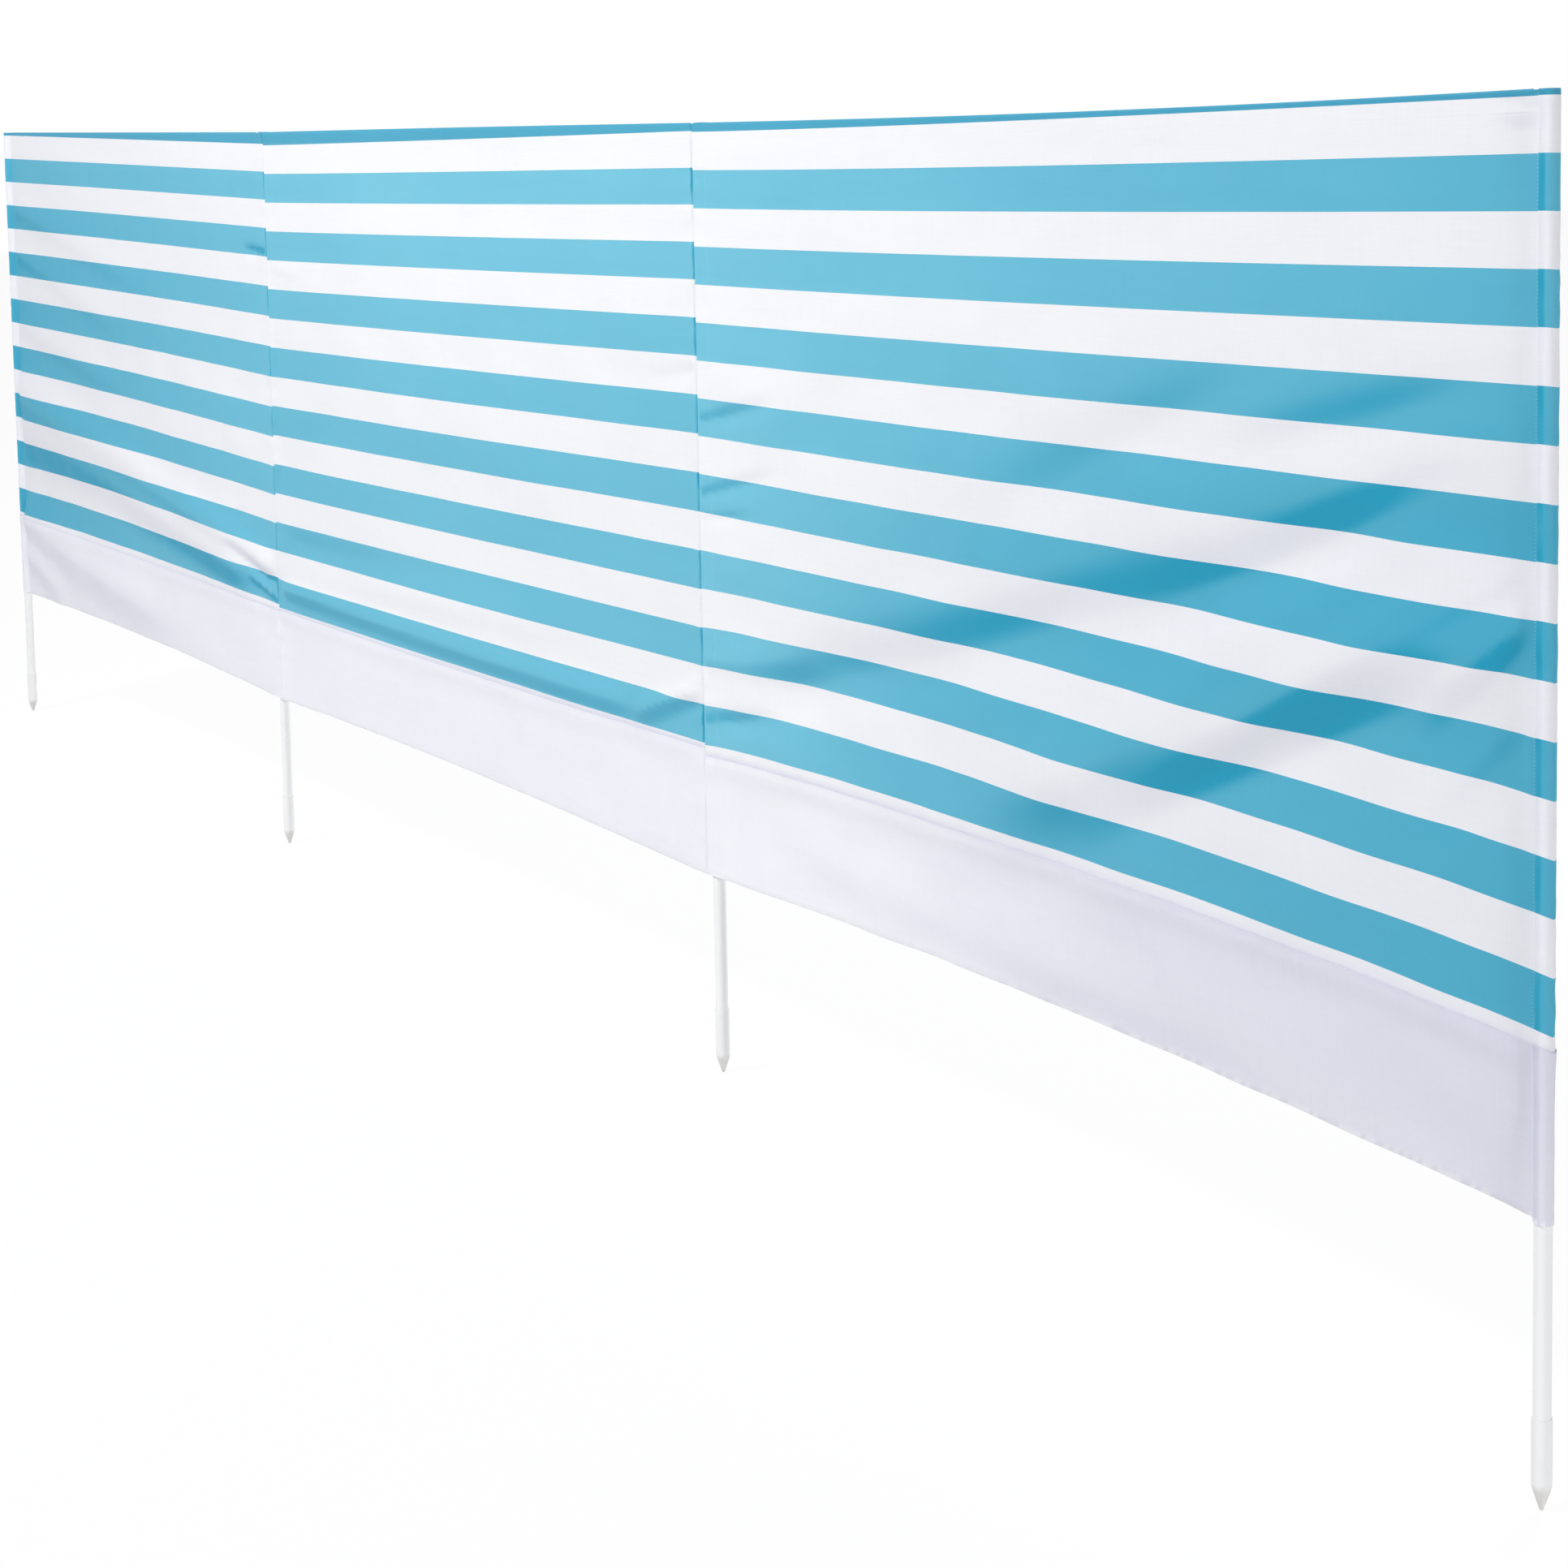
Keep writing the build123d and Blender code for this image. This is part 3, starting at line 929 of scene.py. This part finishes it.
def cloth_material(name, colour, faded, sunk, roughness):
    """Woven synthetic cloth: warp and weft, slubs, faint dye streaks and handling marks.

    It goes over to its sunk colour, a darker copy of its dye that paints shade, with the value of painted shade that
    its points carry."""
    m = surface_nodes(name)
    uv = m.add("ShaderNodeUVMap", uv_map="cloth").outputs["UV"]
    threads = []
    for way in ("X", "Y"):
        shape = {"Scale": 420.0, "Distortion": 0.6, "Detail": 1.0, "Detail_Scale": 2.0}
        wave = m.put("ShaderNodeTexWave", "Fac", Vector=uv, **shape)
        wave.node.bands_direction = way
        threads.append(wave)
    weave = m.math("MULTIPLY", *threads)
    slub_level = m.noise(m.stretched(uv, (14.0, 420.0, 1.0)), 1.0, 3.0, 0.6)
    slub_upright = m.noise(m.stretched(uv, (420.0, 14.0, 1.0)), 1.0, 3.0, 0.6)
    streaks = m.noise(m.stretched(uv, (1.2, 34.0, 1.0)), 1.0, 4.0, 0.6)
    clouds = m.noise(uv, 2.6, 4.0, 0.6, 0.4)
    slubs = m.math("MULTIPLY", m.math("ADD", slub_level, slub_upright), 0.5)
    tone = m.math("ADD", m.math("MULTIPLY", streaks, 0.45), m.math("MULTIPLY", clouds, 0.55))
    dyed = m.mix(m.math("MULTIPLY_ADD", tone, 2.4, -0.70, clamp=True), faded, colour)
    # painted shade: the dye goes over to the sunk colour, a darker copy of it, as far as the points carry painted shade
    shade_share = m.add("ShaderNodeAttribute", attribute_name="deep").outputs["Fac"]
    dyed = m.mix(shade_share, dyed, sunk)
    grain = m.ramp(slubs, [(0.30, (0.955, 0.955, 0.955, 1.0)), (0.70, pure_white)])
    tinted = m.mix(1.0, dyed, grain, "MULTIPLY")
    marks = m.noise(uv, 7.0, 6.0, 0.66, 0.8)
    worn = m.ramp(marks, [(0.60, pure_white), (0.78, (0.965, 0.968, 0.975, 1.0))])
    rough = m.math("MULTIPLY_ADD", slubs, 0.16, roughness - 0.08)
    crinkle = m.noise(uv, 46.0, 4.0, 0.62, 0.5)
    soft_crease = m.noise(m.stretched(uv, (7.0, 16.0, 1.0)), 1.0, 4.0, 0.55, 0.6)
    normal = m.bump(soft_crease, 0.35, 0.0016)
    normal = m.bump(crinkle, 0.25, 0.0003, Normal=normal)
    normal = m.bump(m.math("ADD", weave, slubs), 0.30, 0.00010, Normal=normal)
    finished = m.mix(1.0, tinted, worn, "MULTIPLY")
    gloss = {"Sheen_Weight": 0.05, "Sheen_Roughness": 0.45, "Specular_IOR_Level": 0.34}
    return m.surface(Base_Color=finished, Roughness=rough, Normal=normal, **gloss)


def thread_material():
    m = surface_nodes("sewing thread")
    place = m.add("ShaderNodeTexCoord").outputs["Object"]
    twist = m.noise(place, 900.0, 2.0, 0.5)
    colour = m.mix(twist, srgb(206, 220, 228), srgb(232, 238, 242))
    return m.surface(Base_Color=colour, Roughness=0.6, Normal=m.bump(twist, 0.4, 0.0001))


def painted_tube_material():
    """White stove enamel on steel tube: orange peel, long draw lines and a few rubs."""
    m = surface_nodes("white enamel")
    place = m.add("ShaderNodeTexCoord").outputs["Object"]
    peel = m.noise(place, 260.0, 3.0, 0.5)
    lines = m.noise(m.stretched(place, (300.0, 300.0, 3.0)), 1.0, 3.0, 0.6)
    rubs = m.noise(m.stretched(place, (60.0, 60.0, 9.0)), 1.0, 5.0, 0.7)
    base = m.mix(m.math("MULTIPLY", lines, 0.9), srgb(250, 250, 249), srgb(243, 244, 244))
    rubbed = m.ramp(rubs, [(0.62, pure_white), (0.78, (0.93, 0.93, 0.93, 1.0))])
    base = m.mix(1.0, base, rubbed, "MULTIPLY")
    rough = m.math("MULTIPLY_ADD", rubs, 0.30, 0.30)
    normal = m.bump(lines, 0.10, 0.00008, Normal=m.bump(peel, 0.25, 0.00012))
    return m.surface(Base_Color=base, Roughness=rough, Normal=normal, Specular_IOR_Level=0.18)


def spike_material():
    """White moulded plastic, finely grained, darker, browner and rougher in patches near its tip."""
    m = surface_nodes("white moulded plastic")
    place = m.add("ShaderNodeTexCoord").outputs["Object"]
    grain = m.noise(place, 900.0, 2.0, 0.5)
    flow = m.noise(m.stretched(place, (40.0, 40.0, 8.0)), 1.0, 3.0, 0.5)
    height = m.add("ShaderNodeSeparateXYZ")
    m.link(place, height.inputs[0])
    ends = {"From_Min": ground + 0.022, "From_Max": ground + 0.031, "To_Min": 1.0, "To_Max": 0.0}
    low = m.put("ShaderNodeMapRange", Value=height.outputs["Z"], **ends)
    patch_noise = m.noise(m.stretched(place, (120.0, 120.0, 30.0)), 1.0, 6.0, 0.7)
    uneven = m.math("MULTIPLY_ADD", patch_noise, 0.60, 0.25)
    tip_patches = m.math("MULTIPLY", low, uneven, clamp=True)
    base = m.mix(flow, srgb(248, 248, 247), srgb(242, 242, 242))
    # darker and browner in patches towards the tip
    base = m.mix(m.math("MULTIPLY", tip_patches, 0.8), base, srgb(206, 202, 194))
    rough = m.math("MULTIPLY_ADD", tip_patches, 0.25, 0.42)
    normal = m.bump(patch_noise, 0.15, 0.0003, Normal=m.bump(grain, 0.20, 0.00010))
    return m.surface(Base_Color=base, Roughness=rough, Normal=normal, Specular_IOR_Level=0.16)


# Each cloth's dye, faded dye, and the darker colour that paints its shade
cloths = [
    ("blue stripe cloth", srgb(119, 201, 225), srgb(112, 195, 220), srgb(12, 157, 192), 0.55),
    # the blue where the cloth is turned double is a darker copy of the blue cloth: painted shade
    ("blue cloth turned double in painted shade", srgb(76, 172, 202), srgb(68, 164, 196), srgb(48, 146, 182), 0.58),
    ("white stripe cloth", srgb(252, 252, 253), srgb(248, 248, 251), srgb(237, 237, 244), 0.58),
    ("plain white cloth", srgb(251, 250, 255), srgb(247, 246, 253), srgb(199, 199, 220), 0.60),
]
blue_cloth, shaded_doubled_cloth, white_cloth, skirt_white = (cloth_material(*cloth) for cloth in cloths)
thread = thread_material()
enamel = painted_tube_material()
plastic = spike_material()

for number in (1, 2, 3, 4):
    for name, material in (("tube", enamel), ("spike", plastic), ("plug", plastic)):
        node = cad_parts[f"pole_{number}_{name}"]
        for slot in node.material_slots:
            slot.material = material
        if not node.material_slots:
            node.data.materials.append(material)

# ---- the cloth pieces ----

# Flat sizes: cut heights with their hems, what goes round an end pole, a strap's and a tape's widths
striped_cut, skirt_cut = 1.035, 0.225
wrap = 0.055
strap_width, striped_strap_cut, skirt_strap_cut = 0.062, 1.015, 0.185
tape_width = 0.0102
tape_low, tape_high = 0.214, 1.392

striped_set = [blue_cloth, white_cloth, shaded_doubled_cloth]
white_set = [skirt_white]
pole_numbers = {"left": (1, 2), "middle": (2, 3), "right": (3, 4)}


def declare(sheet, body, slot, width, height, rests_on, *replaced):
    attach(sheet, body)
    if replaced:
        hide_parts(*replaced)


for bay in ("left", "middle", "right"):
    body = f"{bay}_bay"
    start, end = bays[bay]["ends"]
    width = end - start + (0.0 if bay == "middle" else wrap)
    tubes = [f"pole_{number}_tube" for number in pole_numbers[bay]]
    upper = striped_cloth(bay, striped_set)
    lower = skirt_cloth(bay, white_set)
    declare(upper, body, "striped_cloth", width, striped_cut, tubes, f"{bay}_panel", f"{bay}_top_hem")
    declare(lower, body, "white_cloth", width, skirt_cut, tubes, f"{bay}_skirt", f"{bay}_bottom_hem")
    sewn = bay_stitches(bay, thread)
    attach(sewn, body)
    if bay == "middle":
        for name, seam, side in (("left", left_seam, 1), ("right", right_seam, -1)):
            tape = seam_tape(f"middle_{name}_seam_tape", seam, tape_low, tape_high, side, white_set)
            declare(tape, body, "white_cloth", tape_width, tape_high - tape_low, [upper.name])
    else:
        end_pole, inner_pole = (1, 2) if bay == "left" else (4, 3)
        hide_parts(f"pole_{end_pole}_pocket")
        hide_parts(f"pole_{end_pole}_skirt_pocket")
        tube = [f"pole_{inner_pole}_tube"]
        piece = strap(bay, True, striped_set)
        declare(piece, body, "striped_cloth", strap_width, striped_strap_cut, tube, f"pole_{inner_pole}_pocket")
        piece = strap(bay, False, white_set)
        declare(piece, body, "white_cloth", strap_width, skirt_strap_cut, tube, f"pole_{inner_pole}_skirt_pocket")

# ---- floor, light and camera ----


def seen_directly(m):
    """1 for rays that come from the camera, from gloss or through glass."""
    path = m.add("ShaderNodeLightPath").outputs
    seen = m.math("MAXIMUM", path["Is Camera Ray"], path["Is Glossy Ray"])
    return m.math("MAXIMUM", seen, path["Is Transmission Ray"])


def mix_shaders(m, share, first, second):
    for socket, value in zip(m.shader.inputs, (share, first, second)):
        m.link(value, socket)


def floor_material():
    """A matt floor that shows a shadow, and is nearly white to the camera."""
    material = bpy.data.materials.new("pale floor")
    m = Nodes(material, "ShaderNodeOutputMaterial", "ShaderNodeMixShader")
    direct = seen_directly(m)
    matt = m.put("ShaderNodeBsdfDiffuse", Color=m.math("MULTIPLY_ADD", direct, 0.22, 0.74))
    bright = m.put("ShaderNodeEmission", Color=pure_white, Strength=1.0)
    mix_shaders(m, m.math("MULTIPLY", direct, 0.95), matt, bright)
    return material


floor_reach = 30.0
floor_gap = 0.0005  # under the spikes' tips
floor_mesh = bpy.data.meshes.new("floor")
corners = [(x * floor_reach, y * floor_reach, 0.0) for x, y in ((-1, -1), (1, -1), (1, 1), (-1, 1))]
floor_mesh.from_pydata(corners, [], [(0, 1, 2, 3)])
floor_mesh.materials.append(floor_material())
floor = new_piece("floor", floor_mesh)
floor.location = (2.5, 0.0, ground - floor_gap)

scene = bpy.context.scene
scene.world = bpy.data.worlds.new("studio")
sky = Nodes(scene.world, "ShaderNodeOutputWorld", "ShaderNodeMixShader")
soft = sky.put("ShaderNodeBackground", Color=(0.92, 0.95, 1.0, 1.0), Strength=0.20)
white = sky.put("ShaderNodeBackground", Color=pure_white, Strength=1.0)
mix_shaders(sky, seen_directly(sky), soft, white)


def lamp(name, place, target, size, power):
    data = bpy.data.lights.new(name, "AREA")
    data.shape = "SQUARE"
    data.size = size
    data.energy = power
    piece = new_piece(name, data)
    piece.location = place
    way = Vector(target) - Vector(place)
    piece.rotation_euler = way.to_track_quat("-Z", "Y").to_euler()


lamp("key", (2.2, -5.4, 6.8), (2.4, 0.0, 0.8), 1.3, 535.0)
lamp("side", (9.5, -0.9, 0.5), (4.9, 0.0, 0.1), 1.0, 88.0)
lamp("back", (3.0, 4.6, 4.0), (2.5, 0.0, 0.8), 2.5, 230.0)

# The camera as fitted to the photograph: place in metres, turns in radians, focal length in pixels of the frame
frame_side = 1932.0
focal = 3246.17
yaw, pitch, roll = -0.9767, -0.0858, -0.0189
camera_place = (6.7565, -2.1659, 1.3877)
sensor = 36.0  # millimetres
forward = Vector((math.cos(pitch) * math.sin(yaw), math.cos(pitch) * math.cos(yaw), math.sin(pitch)))
level_right = Vector((math.cos(yaw), -math.sin(yaw), 0.0))
level_up = level_right.cross(forward)
camera_right = level_right * math.cos(roll) + level_up * math.sin(roll)
camera_up = level_up * math.cos(roll) - level_right * math.sin(roll)
lens = bpy.data.cameras.new("camera")
lens.sensor_width = sensor
lens.lens = focal / frame_side * sensor
lens.shift_y = -0.275
lens.clip_end = 100.0
camera = new_piece("camera", lens)
turn = Matrix((camera_right, camera_up, -forward)).transposed()
camera.matrix_world = Matrix.Translation(camera_place) @ turn.to_4x4()
scene.camera = camera
scene.view_settings.view_transform = "Standard"


bpy.context.view_layer.update()
